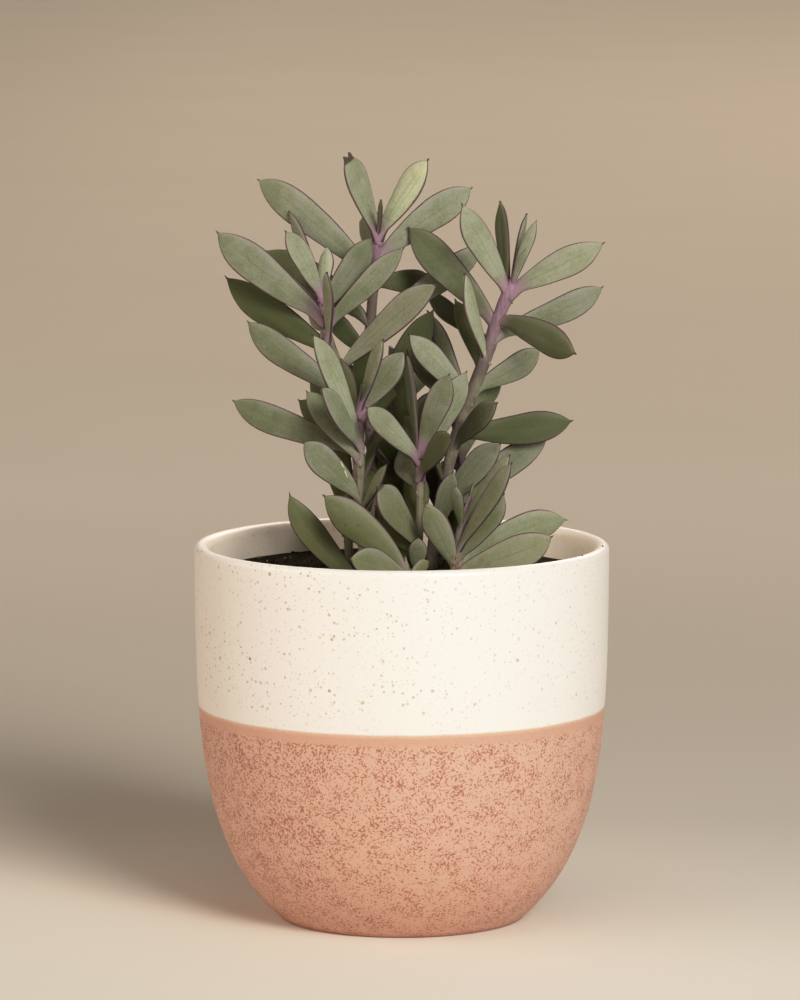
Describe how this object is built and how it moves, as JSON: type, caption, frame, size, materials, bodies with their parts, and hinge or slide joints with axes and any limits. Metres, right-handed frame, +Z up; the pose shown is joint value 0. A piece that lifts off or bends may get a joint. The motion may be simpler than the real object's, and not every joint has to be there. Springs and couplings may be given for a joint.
{
  "type": "potted senecio",
  "caption": "Upright succulent with flat, vertical, sage-green leaves on mauve stems, growing in soil in a round two-colour glazed planter.",
  "frame": {"origin": "centre of the pot's flat base, on the surface that it stands on", "axes": "+Z up along the pot's axis, +X to the right and -Y towards the viewer of the front"},
  "size_m": [0.14, 0.14, 0.2602],
  "materials": {
    "pot_glaze": "satin",
    "soil": "matte",
    "leaf": "satin"
  },
  "bodies": {
    "root": {"pot": "pot_glaze", "soil": "soil", "stem_tall_centre": "leaf", "stem_tall_left": "leaf", "stem_tall_right": "leaf", "stem_front_left": "leaf", "stem_front_centre": "leaf", "stem_front_right": "leaf", "shoot_front_low": "leaf", "stem_back_centre": "leaf", "stem_back_left": "leaf", "stem_back_right": "leaf"}
  },
  "joints": []
}
